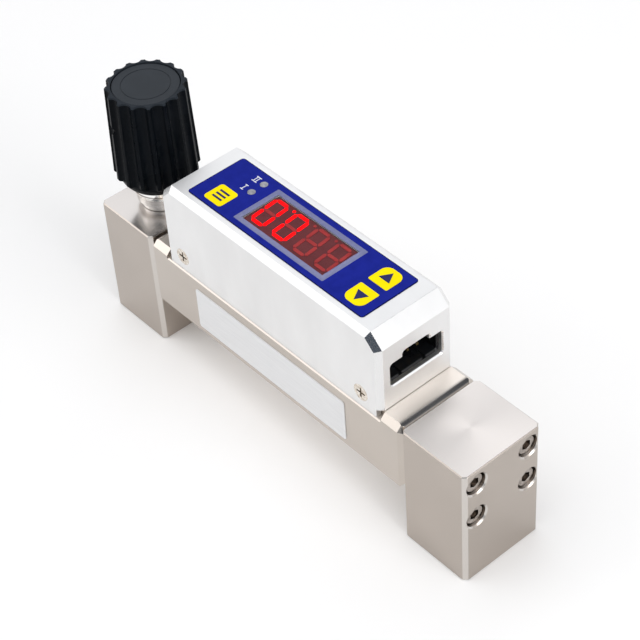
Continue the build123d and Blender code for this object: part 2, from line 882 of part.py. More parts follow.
def segment(x, y, length, angle):
    """One display segment: a bar with pointed ends, centred at (x, y)."""
    half = length / 2 - segment_gap
    wide = segment_width / 2
    face = make_face(Polyline((-half, 0), (-half + wide, wide), (half - wide, wide), (half, 0),
                              (half - wide, -wide), (-half + wide, -wide), close=True))
    return Pos(x, y) * Rot(0, 0, angle) * face


def digit_segments():
    """The seven segments of one digit, in the order a to g, read with +Y up."""
    across = digit_width - segment_width
    tall = (digit_height - segment_width) / 2
    side = across / 2
    return [segment(0, tall, across, 0), segment(side, tall / 2, tall, 90),
            segment(side, -tall / 2, tall, 90), segment(0, -tall, across, 0),
            segment(-side, -tall / 2, tall, 90), segment(-side, tall / 2, tall, 90),
            segment(0, 0, across, 0)]


def slanted(face):
    """A flat face leaned sideways by the display's slant, its +Y end towards -X."""
    lean = tan(radians(digit_slant))
    outline = [(v.X - lean * v.Y, v.Y) for v in face.outer_wire().vertices()]
    return make_face(Polyline(*outline, close=True))


def display_marks():
    """Lit and unlit segments and points; the digits are read from the +Y side."""
    lit = []
    dark = []
    for index in range(digit_count):
        x = (index - (digit_count - 1) / 2) * digit_pitch
        shown = index >= digit_count - lit_digits
        for number, face in enumerate(digit_segments()):
            solid = extrude(Pos(x, 0) * slanted(face.faces()[0]), segment_height)
            (lit if shown and number != 6 else dark).append(solid)
        if index < digit_count - 1:
            dot_x = x + digit_pitch / 2
            dot = extrude(Pos(dot_x, -(digit_height - segment_width) / 2) * Circle(point_radius),
                          segment_height)
            (lit if index == digit_count - lit_digits else dark).append(dot)
    turn = Pos(0, digit_shift, module_top_z) * Rot(0, 0, 180)
    return [turn * s for s in lit], [turn * s for s in dark]


def display_module():
    """The moulded block that holds the four digits, standing up into the cover's cutout."""
    block = box_between((-module_length / 2, -module_width / 2, display_board_top_z),
                        (module_length / 2, module_width / 2, module_top_z))
    return chamfer(block.edges().filter_by(Axis.Z), module_corner)


# ---- keys' switches ----

def switch_body(x, y):
    """The square case of a key switch, bored for its plunger."""
    half = switch_size / 2
    low = display_board_top_z
    high = low + switch_height
    case = box_between((x - half, y - half, low), (x + half, y + half, high))
    case -= rod_z(x, y, low + switch_floor, high + 1, plunger_radius + plunger_guide_gap)
    pocket = plunger_radius + plunger_collar + plunger_collar_gap
    return case - rod_z(x, y, low + switch_floor, high - switch_lid, pocket)


def switch_plunger(x, y):
    """The plunger of a key switch, with a collar that keeps it in its case."""
    low = display_board_top_z + switch_floor + key_travel + plunger_floor_gap
    collar_top = display_board_top_z + switch_height - switch_lid - plunger_guide_gap
    top = film_bottom_z - plunger_top_gap
    collar = plunger_radius + plunger_collar
    return Pos(x, y, 0) * turned([(0, low), (collar, low), (collar, collar_top),
                                  (plunger_radius, collar_top), (plunger_radius, top - 0.2),
                                  (plunger_radius - 0.2, top), (0, top)])


# ---- boards ----

def main_board():
    """The main circuit board over the land, holed for its posts and the sensor blade."""
    board = box_between((-main_board_half, -main_board_half_width, main_board_z),
                        (main_board_half, main_board_half_width, main_board_top_z))
    for x, y in post_places():
        board -= rod_z(x, y, main_board_z - 1, main_board_top_z + 1, m16_radius + board_hole_gap)
    slot_x = blade_thickness / 2 + board_hole_gap
    slot_y = blade_width / 2 + board_hole_gap
    return board - box_between((sensor_x - slot_x, -slot_y, main_board_z - 1),
                               (sensor_x + slot_x, slot_y, main_board_top_z + 1))


def board_chip(x, y, length, width, height):
    """One part soldered flat on the main board."""
    return box_between((x - length / 2, y - width / 2, main_board_top_z),
                       (x + length / 2, y + width / 2, main_board_top_z + height))


def board_chips():
    """The larger parts on the main board: a controller, two regulators, a reference."""
    regulator_x = sensor_x - regulator_gap
    return [board_chip(sensor_x + controller_chip_gap, 0, controller_chip_size, controller_chip_size,
                       controller_chip_height),
            board_chip(regulator_x, regulator_y_up, regulator_length, regulator_width, regulator_height),
            board_chip(regulator_x, -regulator_y_down, regulator_length, regulator_width,
                       regulator_height),
            board_chip(sensor_x + reference_gap, -reference_y, reference_length, reference_width,
                       reference_height)]


def board_spacers():
    """Four thin washers that hold the main board off the land."""
    outer = m16_head_radius
    return [rod_z(x, y, land_top_z, main_board_z, outer)
            - rod_z(x, y, land_top_z, main_board_z, m16_radius + board_hole_gap) for x, y in post_places()]


def display_posts():
    """Four hexagonal posts: studded into the land below, tapped for a screw above."""
    posts = []
    for x, y in post_places():
        post = hexagon(post_across_flats, main_board_top_z, display_board_z)
        post += rod_z(0, 0, land_top_z - m16_length + 0.4, main_board_top_z, m16_radius)
        post -= rod_z(0, 0, display_board_z - m16_length, display_board_z, m16_radius + thread_gap)
        posts.append(Pos(x, y, 0) * post)
    return posts


def display_board():
    """The upper circuit board that carries the display, lamps and switches."""
    board = box_between((post_x_left - display_board_end_margin, -display_board_half_width,
                         display_board_z),
                        (socket_back_x - display_board_socket_gap, display_board_half_width,
                         display_board_top_z))
    for x, y in post_places():
        board -= rod_z(x, y, display_board_z - 1, display_board_top_z + 1, m16_radius + board_hole_gap)
    return board


def display_board_screws():
    """Four pan-head screws that hold the display board on its posts."""
    return [Pos(x, y, display_board_top_z) * pan_screw() for x, y in post_places()]


def header_places():
    """X of each pin that joins the two boards."""
    middle = (header_pin_count - 1) / 2
    return [header_x + (i - middle) * header_spacing for i in range(header_pin_count)]


def header_strip():
    """The insulating strip round the joining pins, on the main board."""
    half = header_pin_count * header_spacing / 2
    strip = box_between((header_x - half, header_y - header_body / 2, main_board_top_z),
                        (header_x + half, header_y + header_body / 2,
                         main_board_top_z + header_body_height))
    for x in header_places():
        gap = pin_size / 2 + thread_gap
        strip -= box_between((x - gap, header_y - gap, main_board_top_z - 1),
                             (x + gap, header_y + gap, main_board_top_z + header_body_height + 1))
    return strip


def header_pin_row():
    """The square pins between the main board and the display board."""
    half = pin_size / 2
    return [box_between((x - half, header_y - half, main_board_top_z),
                        (x + half, header_y + half, display_board_z)) for x in header_places()]


# ---- connector ----

def connector_shell():
    """The black socket behind the cover's opening, standing on the main board."""
    back = socket_back_x
    shell = Pos(back, 0, 0) * extrude(Plane.YZ * socket_outline(socket_wall), socket_depth)
    inner = extrude(Plane.YZ * socket_outline(-socket_step), socket_depth)
    shell -= Pos(back + socket_back, 0, 0) * inner
    mouth = shell.faces().sort_by(Axis.X)[-1]
    shell = chamfer(mouth.inner_wires()[0].edges(), socket_lead)
    for side in (-1, 1):
        low, high = sorted((side * (socket_groove_y - socket_groove_width / 2),
                            side * (socket_groove_y + socket_groove_width / 2)))
        floor = socket_bottom_z + socket_step
        shell -= box_between((back + socket_back, low, floor - socket_groove_depth),
                             (socket_front_x + 1, high, floor + 0.1))
    foot = box_between((back, -socket_width / 3, main_board_top_z),
                       (socket_front_x, socket_width / 3, socket_bottom_z - socket_step))
    shell += foot
    for y, z in contact_places():
        gap = contact_size / 2 + thread_gap
        shell -= box_between((back - 1, y - gap, z - gap), (back + socket_back + 1, y + gap, z + gap))
    return shell


def contact_places():
    """Y and Z of the socket's contacts, in two rows."""
    columns = [(i - (contact_columns - 1) / 2) * contact_pitch for i in range(contact_columns)]
    return [(y, contact_low_z + row * contact_pitch) for row in (0, 1) for y in columns]


def connector_contacts():
    """Bent contacts: a straight blade in the socket and a tail down to the main board."""
    back = socket_back_x
    half = contact_size / 2
    contacts = []
    for y, z in contact_places():
        row = round((z - contact_low_z) / contact_pitch)
        tail = back - contact_tail * (row + 1)
        blade = box_between((tail - half, y - half, z - half),
                            (back + socket_back + contact_reach, y + half, z + half))
        leg = box_between((tail - half, y - half, main_board_top_z), (tail + half, y + half, z + half))
        contacts.append(blade + leg)
    return contacts


# ---- needle valve ----

def valve_seat():
    """The ring that the needle closes on, at the bottom of the chamber."""
    outer = chamber_radius - seat_fit
    ring = rod_z(valve_x, 0, chamber_floor_z, seat_top_z, outer)
    ring -= rod_z(valve_x, 0, chamber_floor_z - 1, seat_top_z + 1, orifice_radius)
    return ring


def valve_bonnet():
    """The turned guide screwed into the block's top, bored for the needle, packing and stem."""
    shoulder = block_height
    flange = shoulder + bonnet_neck_height
    spigot_top = gland_z + bonnet_spigot_height
    bonnet = turned([(0, bonnet_bottom_z), (bonnet_thread_radius, bonnet_bottom_z),
                     (bonnet_thread_radius, shoulder), (bonnet_neck_radius, shoulder),
                     (bonnet_neck_radius, flange), (bonnet_flange_radius, flange),
                     (bonnet_flange_radius, gland_z), (bonnet_thread_radius, gland_z),
                     (bonnet_thread_radius, spigot_top - 0.4), (bonnet_thread_radius - 0.4, spigot_top),
                     (0, spigot_top)])
    guide = rod_z(0, 0, bonnet_bottom_z - 1, shoulder, needle_radius + needle_gap)
    guide -= needle_flats(bonnet_bottom_z - 1, shoulder + 1, needle_gap)
    bonnet -= guide
    bonnet -= rod_z(0, 0, packing_z, spigot_top + 1, stem_radius + running_gap)
    low = bonnet_bottom_z + bonnet_groove_rise
    high = low + bonnet_groove_height
    groove = rod_z(0, 0, low, high, bonnet_thread_radius + 1)
    bonnet -= groove - rod_z(0, 0, low, high, bonnet_thread_radius - bonnet_groove_depth)
    return Pos(valve_x, 0, 0) * bonnet


def needle_flats(low, high, gap):
    """The two side pieces outside the needle's flats, with a gap to the needle."""
    face = needle_radius - needle_flat + gap
    far = needle_radius + 2
    return (box_between((-far, face, low), (far, far, high))
            + box_between((-far, -far, low), (far, -face, high)))


def bonnet_seal():
    """The seal ring round the bonnet's lower end."""
    low = bonnet_bottom_z + bonnet_groove_rise
    ring = seal_ring(bonnet_thread_radius - bonnet_groove_depth, bonnet_thread_radius + thread_gap,
                     low + sensor_seal_gap, low + bonnet_groove_height - sensor_seal_gap)
    return Pos(valve_x, 0, 0) * ring


def packing_ring():
    """The seal ring round the needle, inside the bonnet."""
    ring = seal_ring(needle_radius + needle_gap / 2, stem_radius + running_gap,
                     packing_z, packing_z + packing_height)
    return Pos(valve_x, 0, 0) * ring


def packing_washer():
    """The washer that keeps the packing ring in its place."""
    low = packing_z + packing_height
    ring = rod_z(valve_x, 0, low, low + packing_washer_height, stem_radius)
    return ring - rod_z(valve_x, 0, low, low + packing_washer_height, needle_radius + needle_gap)


def gland_nut():
    """The round lock nut on the bonnet's spigot."""
    top = gland_top_z
    nut = turned([(bonnet_thread_radius + thread_gap, gland_z), (gland_step_radius, gland_z),
                  (gland_step_radius, gland_z + gland_step_height),
                  (gland_radius - 0.3, gland_z + gland_step_height),
                  (gland_radius, gland_z + gland_step_height + 0.3), (gland_radius, top - 0.3),
                  (gland_radius - 0.3, top), (bonnet_thread_radius + thread_gap, top)])
    return Pos(valve_x, 0, 0) * nut


def valve_needle():
    """The needle: a tapered tip, a flatted shaft that cannot turn, and a head held in the stem."""
    shoulder_z = seat_top_z + needle_seat_gap
    tip_z = shoulder_z - needle_tip_length
    neck_z = stem_bottom_z - 6 * swivel_gap
    head_z = stem_bottom_z + stem_lip + swivel_gap
    head_top = head_z + needle_head_height
    shaft = turned([(0, tip_z), (needle_tip_radius, tip_z), (orifice_radius - needle_gap, shoulder_z),
                    (needle_radius, shoulder_z + needle_shoulder), (needle_radius, neck_z),
                    (needle_neck_radius, neck_z), (needle_neck_radius, head_z),
                    (needle_head_radius, head_z), (needle_head_radius, head_top), (0, head_top)])
    shaft -= needle_flats(shoulder_z + needle_shoulder + 0.5, neck_z + 0.01, 0)
    return Pos(valve_x, 0, 0) * shaft


def valve_stem():
    """The stem that turns with the knob, slotted below to hold the needle's head."""
    stem = rod_z(0, 0, stem_bottom_z, stem_top_z, stem_radius)
    stem = chamfer(stem.edges().group_by(Axis.Z)[-1], 0.4)
    neck = needle_neck_radius + swivel_gap
    head = needle_head_radius + swivel_gap
    lip_z = stem_bottom_z + stem_lip
    head_top = lip_z + needle_head_height + 2 * swivel_gap
    for radius, low, high in ((neck, stem_bottom_z - 1, lip_z), (head, lip_z, head_top)):
        stem -= rod_z(0, 0, low, high, radius)
        stem -= box_between((0, -radius, low), (stem_radius + 1, radius, high))
    return Pos(valve_x, 0, 0) * stem


# ---- knob ----

def knob_blank():
    """The knob before its flutes are cut: tapered grip, stepped to a rounded skirt."""
    rib_z = knob_bottom_z + knob_rib_start
    with BuildPart() as blank:
        with BuildSketch(Plane.XZ):
            with BuildLine():
                Line((0, knob_top_z), (knob_top_radius - knob_top_chamfer, knob_top_z))
                Line((knob_top_radius - knob_top_chamfer, knob_top_z),
                     (knob_top_radius, knob_top_z - knob_top_chamfer))
                Line((knob_top_radius, knob_top_z - knob_top_chamfer), (knob_rib_radius, rib_z + 0.3))
                Line((knob_rib_radius, rib_z + 0.3), (knob_rib_radius - 0.3, rib_z))
                Line((knob_rib_radius - 0.3, rib_z), (knob_skirt_radius, rib_z))
                TangentArc((knob_skirt_radius, rib_z), (knob_foot_radius, knob_bottom_z),
                           tangent=(0, -1))
                Line((knob_foot_radius, knob_bottom_z), (0, knob_bottom_z))
                Line((0, knob_bottom_z), (0, knob_top_z))
            make_face()
        revolve(axis=Axis.Z)
    return blank.part


def knob_flutes():
    """The ring of finger grooves, leaning with the grip's taper and open at both ends."""
    rib_z = knob_bottom_z + knob_rib_start
    low_centre = knob_rib_radius - flute_depth + flute_radius
    high_centre = knob_top_radius - flute_depth + flute_radius
    low = Plane(origin=(low_centre, 0, rib_z), z_dir=(high_centre - low_centre, 0, knob_top_z - rib_z))
    height = ((high_centre - low_centre) ** 2 + (knob_top_z - rib_z) ** 2) ** 0.5
    groove = extrude(low * Circle(flute_radius), height + 2)
    groove += extrude(low * Circle(flute_radius), -0.4)
    return [Rot(0, 0, index * 360 / flute_count) * groove for index in range(flute_count)]


def set_screw_frame():
    """The place and direction of the set screw: on the stem's side, pointing outward."""
    return Pos(valve_x, 0, set_screw_z) * Rot(0, 0, set_screw_angle)


def control_knob():
    """The fluted grip, hollow over the bonnet and bored for the stem, cap and set screw."""
    knob = knob_blank() - knob_flutes()
    knob -= rod_z(0, 0, knob_bottom_z - 1, knob_bottom_z + knob_cavity_height, knob_cavity_radius)
    knob -= rod_z(0, 0, knob_bottom_z, knob_top_z, stem_radius + thread_gap)
    cap_z = knob_top_z - knob_cap_sink - knob_cap_thickness
    knob -= rod_z(0, 0, cap_z, knob_top_z + 1, knob_cap_radius + 0.15)
    knob = Pos(valve_x, 0, 0) * knob
    knob -= set_screw_frame() * rod_x(0, 0, 0, knob_rib_radius + 1, set_screw_radius + thread_gap)
    return knob


def knob_cap():
    """The thin disc let into the knob's top."""
    cap_z = knob_top_z - knob_cap_sink - knob_cap_thickness
    top = knob_top_z - knob_cap_sink
    disc = rod_z(0, 0, cap_z, top, knob_cap_radius)
    disc = chamfer(disc.edges().group_by(Axis.Z)[-1], 0.15)
    ring = rod_z(0, 0, top - 0.1, top + 1, knob_cap_groove) - rod_z(0, 0, top - 0.1, top + 1,
                                                                   knob_cap_groove - 0.2)
    return Pos(valve_x, 0, 0) * (disc - ring)


def knob_set_screw():
    """The headless screw that locks the knob to the stem."""
    screw = rod_x(0, 0, stem_radius, stem_radius + set_screw_length, set_screw_radius)
    socket = Rot(0, 90, 0) * hexagon(set_screw_socket,
                                     stem_radius + set_screw_length - set_screw_socket_depth,
                                     stem_radius + set_screw_length + 1)
    return set_screw_frame() * (screw - socket)


# ---- label ----

def label_plate():
    """The thin plate on the flow body's -Y side, with clipped corners."""
    sheet = box_between((label_x - label_length / 2, -half_width - label_thickness,
                         label_z - label_height / 2),
                        (label_x + label_length / 2, -half_width, label_z + label_height / 2))
    return chamfer(sheet.edges().filter_by(Axis.Y), label_corner)


# ---- write one file for each piece ----

def pieces():
    """Every piece by name; a list is a group of separate like solids."""
    screens, spacers = screens_and_spacers()
    lit, dark = display_marks()
    named = {
        "inlet_block": inlet_block(),
        "valve_block": valve_block(),
        "flow_body": flow_body(),
        "inlet_block_screws": block_screws(1),
        "valve_block_screws": block_screws(-1),
        "inlet_face_seal": face_seal(1),
        "outlet_face_seal": face_seal(-1),
        "flow_straightener": flow_straightener(),
        "flow_screens": screens,
        "screen_spacers": spacers,
        "sensor_holder": sensor_holder(),
        "sensor_seal": sensor_seal(),
        "sensor_blade": sensor_blade(),
        "sensor_chip": sensor_chip(),
        "sensor_screws": sensor_screws(),
        "housing_cover": housing_cover(),
        "cover_screws": cover_screws(),
        "panel_overlay": panel_overlay(),
        "display_window": display_window(),
        "key_symbols": key_symbols(),
        "panel_marks": panel_marks(),
        "light_pipes": light_pipes(),
        "led_chips": led_chips(),
        "display_module": display_module(),
        "display_segments_lit": lit,
        "display_segments_dark": dark,
        "main_board": main_board(),
        "board_chips": board_chips(),
        "board_spacers": board_spacers(),
        "display_posts": display_posts(),
        "display_board": display_board(),
        "display_board_screws": display_board_screws(),
        "header_strip": header_strip(),
        "header_pins": header_pin_row(),
        "connector_shell": connector_shell(),
        "connector_contacts": connector_contacts(),
        "valve_seat": valve_seat(),
        "valve_bonnet": valve_bonnet(),
        "bonnet_seal": bonnet_seal(),
        "packing_ring": packing_ring(),
        "packing_washer": packing_washer(),
        "gland_nut": gland_nut(),
        "valve_needle": valve_needle(),
        "valve_stem": valve_stem(),
        "control_knob": control_knob(),
        "knob_cap": knob_cap(),
        "knob_set_screw": knob_set_screw(),
        "label_plate": label_plate(),
    }
    for name, x, y in key_places():
        named[name + "_key"] = key_pad(name, x, y)
        named[name + "_switch"] = switch_body(x, y)
        named[name + "_plunger"] = switch_plunger(x, y)
    return named


os.makedirs("parts", exist_ok=True)
for name, shape in pieces().items():
    if isinstance(shape, list):
        shape = Compound(children=[solid for item in shape for solid in item.solids()])
    export_step(shape, "parts/" + name + ".step")
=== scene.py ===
"""Looks, light and camera for a mass flow controller.  Lengths in metres, in the CAD frame."""
import math

import bmesh
import bpy
from mathutils import Matrix, Vector


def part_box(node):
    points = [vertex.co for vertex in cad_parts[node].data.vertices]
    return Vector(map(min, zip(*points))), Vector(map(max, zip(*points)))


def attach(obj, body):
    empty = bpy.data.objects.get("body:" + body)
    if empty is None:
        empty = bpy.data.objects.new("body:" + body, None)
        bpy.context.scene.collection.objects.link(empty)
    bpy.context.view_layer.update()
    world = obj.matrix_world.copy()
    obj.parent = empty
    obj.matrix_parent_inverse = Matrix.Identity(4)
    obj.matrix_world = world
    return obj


MM = 0.001

# ---- camera: place, axes and lens of the view ----
EYE = Vector((0.27904, -0.21520, 0.36354))
VIEW_RIGHT = Vector((0.65792, 0.75095, -0.05657))
VIEW_DOWN = Vector((0.49029, -0.48414, -0.72472))
LENS_MM = 110.53
SENSOR_MM = 36.0

# ---- studio ----
FLOOR_SIZE = 6.0
LIGHT_AIM = (0, 0, 0.03)
LIGHTS = [("overhead", (0.15, -0.20, 1.10), 0.8, 2.3),
          ("left_fill", (-0.75, -0.70, 0.50), 0.6, 1.3),
          ("right_fill", (0.90, 0.05, 0.50), 0.5, 3.2)]
SKY_STRENGTH = 0.92
HORIZON = (0.93, 0.93, 0.94, 1)
ZENITH = (1.18, 1.19, 1.21, 1)
BRIGHT = (1.46, 1.48, 1.52, 1)
DARK = (0.07, 0.085, 0.11, 1)
BACKDROP = (1.05, 1.05, 1.05, 1)
SKY_PATCHES = [((-0.46, 0.49, 0.74), 28, 12, BRIGHT),
               ((0.15, 0.47, 0.87), 35, 17, DARK),
               ((0.42, -0.86, 0.20), 40, 26, DARK)]

# ---- places and sizes that the finishes need ----
CUTOUT_HALF_LENGTH = 14.64 * MM
CUTOUT_HALF_WIDTH = 5.80 * MM
FILM_HALF_LENGTH = 31.80 * MM
FILM_HALF_WIDTH = 8.95 * MM
FILM_EDGE = 0.22 * MM
BLOCK_CENTRE_X = 57.5 * MM
KNOB_RIM_Z = 72.8 * MM
WINDOW_ALPHA = 0.01
WINDOW_RIM_ALPHA = 0.66

# ---- radii that sharp edges are shaded with ----
BLOCK_EDGE = 0.12 * MM
BAR_EDGE = 0.10 * MM
COVER_EDGE = 0.15 * MM
VALVE_EDGE = 0.08 * MM
KNOB_EDGE = 0.18 * MM
LABEL_EDGE = 0.05 * MM
SMALL_EDGE = 0.06 * MM

# ---- ports: the thread's sizes; its shares are of one pitch, its run-out is in turns ----
PORT_RADIUS = 4.4 * MM
PORT_DEPTH = 8.9 * MM
THREAD_START = 0.8 * MM
THREAD_PITCH = 0.907 * MM
THREAD_DEPTH = 0.45 * MM
THREAD_STEPS = 48
ROOT_SHARE = 0.44
CREST_SHARE = 0.07
RUN_OUT = 1 / 3


# ---- node helpers ----

class Shader:
    """A material being wired up: short names for adding and joining its nodes."""

    def __init__(self, name):
        self.material = bpy.data.materials.new(name)
        self.material.use_nodes = True
        self.tree = self.material.node_tree
        self.surface = self.tree.nodes["Principled BSDF"]
        self.places = self.add("ShaderNodeTexCoord").outputs["Object"]

    def add(self, kind, **settings):
        """A new node with its settings made."""
        node = self.tree.nodes.new(kind)
        for key, value in settings.items():
            setattr(node, key, value)
        return node

    def join(self, source, target):
        """A link from an output to an input."""
        self.tree.links.new(source, target)

    def set(self, **values):
        """Constants on the surface shader, with spaces written as underscores."""
        for key, value in values.items():
            self.surface.inputs[key.replace("_", " ")].default_value = value

    def axes(self, vector):
        """A vector's X, Y and Z outputs."""
        node = self.add("ShaderNodeSeparateXYZ")
        self.join(vector, node.inputs["Vector"])
        return node.outputs

    def scaled(self, x, y, z):
        """Object coordinates multiplied along each axis."""
        node = self.add("ShaderNodeMapping")
        node.inputs["Scale"].default_value = (x, y, z)
        self.join(self.places, node.inputs["Vector"])
        return node.outputs["Vector"]

    def noise(self, scale, detail=3.0, stretch=(1, 1, 1), rough=0.55):
        """Noise whose scale is in features per metre."""
        node = self.add("ShaderNodeTexNoise")
        node.inputs["Scale"].default_value = scale
        node.inputs["Detail"].default_value = detail
        node.inputs["Roughness"].default_value = rough
        self.join(self.scaled(*stretch), node.inputs["Vector"])
        return node.outputs["Fac"]

    def ramp(self, factor, stops):
        """A colour ramp from (position, colour) stops."""
        node = self.add("ShaderNodeValToRGB")
        band = node.color_ramp
        while len(band.elements) < len(stops):
            band.elements.new(0.5)
        for element, (place, colour) in zip(band.elements, stops):
            element.position = place
            element.color = (*colour, 1.0)
        self.join(factor, node.inputs["Fac"])
        return node.outputs["Color"]

    def span(self, factor, low, high, start=0.3, end=0.7):
        """A factor spread from one value to another."""
        node = self.add("ShaderNodeMapRange")
        node.inputs["From Min"].default_value = start
        node.inputs["From Max"].default_value = end
        node.inputs["To Min"].default_value = low
        node.inputs["To Max"].default_value = high
        self.join(factor, node.inputs["Value"])
        return node.outputs["Result"]

    def maths(self, operation, first, second):
        """One operation on two values, each an output or a number."""
        node = self.add("ShaderNodeMath", operation=operation)
        for socket, value in zip(node.inputs, (first, second)):
            if isinstance(value, (int, float)):
                socket.default_value = value
            else:
                self.join(value, socket)
        return node.outputs["Value"]

    def blend(self, factor, first, second):
        """A colour between two colours, each an output or a plain colour."""
        node = self.add("ShaderNodeMix", data_type="RGBA")
        self.join(factor, node.inputs["Factor"])
        for socket, value in ((node.inputs["A"], first), (node.inputs["B"], second)):
            if isinstance(value, tuple):
                socket.default_value = (*value, 1.0)
            else:
                self.join(value, socket)
        return node.outputs["Result"]

    def outside_box(self, half_length, half_width):
        """One outside a rectangle about the origin in X and Y, and nought inside it."""
        place = self.axes(self.places)
        past_end = self.maths("GREATER_THAN", self.maths("ABSOLUTE", place["X"], 0), half_length)
        past_side = self.maths("GREATER_THAN", self.maths("ABSOLUTE", place["Y"], 0), half_width)
        return self.maths("MAXIMUM", past_end, past_side)

    def colour(self, output):
        """The surface's colour."""
        self.join(output, self.surface.inputs["Base Color"])

    def roughness(self, output):
        """The surface's roughness."""
        self.join(output, self.surface.inputs["Roughness"])

    def bump(self, height, distance, strength=1.0, edge=0.0):
        """Raises the surface by a height pattern, over edges rounded by a small radius."""
        node = self.add("ShaderNodeBump")
        node.inputs["Distance"].default_value = distance
        node.inputs["Strength"].default_value = strength
        self.join(height, node.inputs["Height"])
        if edge:
            self.join(self.rounded(edge), node.inputs["Normal"])
        self.join(node.outputs["Normal"], self.surface.inputs["Normal"])

    def rounded(self, radius):
        """The surface's direction with its sharp edges rounded."""
        bevel = self.add("ShaderNodeBevel", samples=4)
        bevel.inputs["Radius"].default_value = radius
        return bevel.outputs["Normal"]

    def soften(self, radius):
        """Shades the sharp edges as rounded, with no bump on the faces."""
        self.join(self.rounded(radius), self.surface.inputs["Normal"])

    def facing(self, axis):
        """How squarely the surface faces along an axis, either way: nought to one."""
        normal = self.axes(self.add("ShaderNodeNewGeometry").outputs["Normal"])
        return self.maths("ABSOLUTE", normal[axis], 0)

    def on_corners(self, least):
        """One on upright or sloping faces that lie between the X and Y directions, else nought."""
        both_ways = self.maths("MULTIPLY", self.facing("X"), self.facing("Y"))
        return self.maths("GREATER_THAN", both_ways, least)

    def fly_cut(self, centre_x, amount, outward):
        """Sheen of the level faces round the upright axes at plus and minus centre_x: drawn out
        from the axis, or along the rings round it."""
        place = self.axes(self.places)
        middle = self.maths("MULTIPLY", self.maths("SIGN", place["X"], 0), centre_x)
        from_axis = self.maths("SUBTRACT", place["X"], middle)
        sheen = self.add("ShaderNodeCombineXYZ")
        if outward:
            self.join(from_axis, sheen.inputs["X"])
            self.join(place["Y"], sheen.inputs["Y"])
        else:
            self.join(self.maths("MULTIPLY", place["Y"], -1), sheen.inputs["X"])
            self.join(from_axis, sheen.inputs["Y"])
        self.join(sheen.outputs["Vector"], self.surface.inputs["Tangent"])
        drawn = self.maths("MULTIPLY", self.facing("Z"), amount)
        self.join(drawn, self.surface.inputs["Anisotropic"])

    def turned_about(self, axis):
        """Tool marks that run round an axis through the middle of the piece."""
        node = self.add("ShaderNodeTangent", direction_type="RADIAL", axis=axis)
        self.join(node.outputs["Tangent"], self.surface.inputs["Tangent"])


# ---- metals ----

def milled_steel(name, painted_top_tone, dullness, sheen, outward):
    """Milled stainless steel: cloudy sides, a fly-cut top painted paler than the sides as a
    painted highlight, and corner facets painted bright as a painted highlight.
    """
    s = Shader(name)
    s.set(Metallic=1.0)
    cloud = s.noise(55, 3)
    sides = s.ramp(cloud, [(0.32, (0.445, 0.396, 0.354)), (0.68, (0.480, 0.428, 0.384))])
    # Painted highlight: the level top is painted a paler tone than the sides, for the light it
    # catches.
    top = (painted_top_tone, 0.945 * painted_top_tone, 0.905 * painted_top_tone)
    level = s.maths("POWER", s.facing("Z"), 8)
    # Painted highlight: upright corner facets between the X and Y faces are painted bright.
    s.colour(s.blend(s.on_corners(0.2), s.blend(level, sides, top), (0.62, 0.585, 0.55)))
    s.roughness(s.maths("ADD", s.span(cloud, 0.24, 0.27), s.maths("MULTIPLY", level, dullness)))
    s.fly_cut(BLOCK_CENTRE_X, sheen, outward)
    s.soften(BLOCK_EDGE)
    return s.material


def block_steel():
    """The inlet block's steel, and the port threads'."""
    return milled_steel("block_steel", painted_top_tone=0.84, dullness=0.20, sheen=0.45, outward=False)


def valve_block_steel():
    """The same steel with a shinier top round the foot of the valve, painted darker than the inlet
    block's top as a painted reflection of the black knob above.
    """
    # Painted reflection: the lower top tone stands for the dark knob mirrored in this top.
    return milled_steel("valve_block_steel", painted_top_tone=0.62, dullness=-0.02, sheen=0.80,
                        outward=True)


def bar_steel():
    """The drawn and ground flow body: cloudy along its length, duller on its flat top, which is
    painted pale as a painted highlight.
    """
    s = Shader("bar_steel")
    s.set(Metallic=1.0, Anisotropic=0.4)
    cloud = s.noise(38, 3, (0.4, 1, 1))
    sides = s.ramp(cloud, [(0.32, (0.510, 0.461, 0.415)), (0.68, (0.570, 0.518, 0.468))])
    flat = s.maths("POWER", s.facing("Z"), 50)
    # Painted highlight: the flat top is painted far paler than the sides.
    s.colour(s.blend(flat, sides, (0.960, 0.885, 0.810)))
    s.roughness(s.maths("ADD", s.span(cloud, 0.20, 0.23), s.maths("MULTIPLY", flat, 0.24)))
    s.turned_about("X")
    s.soften(BAR_EDGE)
    return s.material


def cover_aluminium():
    """Fine-blasted, clear-anodised aluminium; its corner facets are cut bright afterwards."""
    s = Shader("cover_aluminium")
    s.set(Metallic=1.0)
    cloud = s.noise(70, 4, (1, 1, 0.35))
    s.colour(s.ramp(cloud, [(0.3, (0.775, 0.772, 0.770)), (0.7, (0.855, 0.853, 0.850))]))
    cut = s.maths("MULTIPLY", s.on_corners(0.12), 0.22)
    s.roughness(s.maths("SUBTRACT", s.span(cloud, 0.42, 0.47), cut))
    s.bump(s.noise(5200, 2), 0.002 * MM, 0.5, COVER_EDGE)
    return s.material


def screw_steel():
    """Plated screws with a faint warm stain and fine scratches."""
    s = Shader("screw_steel")
    s.set(Metallic=1.0)
    stain = s.noise(1100, 3)
    s.colour(s.ramp(stain, [(0.35, (0.520, 0.430, 0.330)), (0.65, (0.880, 0.840, 0.780))]))
    s.roughness(s.span(stain, 0.26, 0.16))
    s.bump(s.noise(3500, 3), 0.004 * MM, 0.4, SMALL_EDGE)
    return s.material


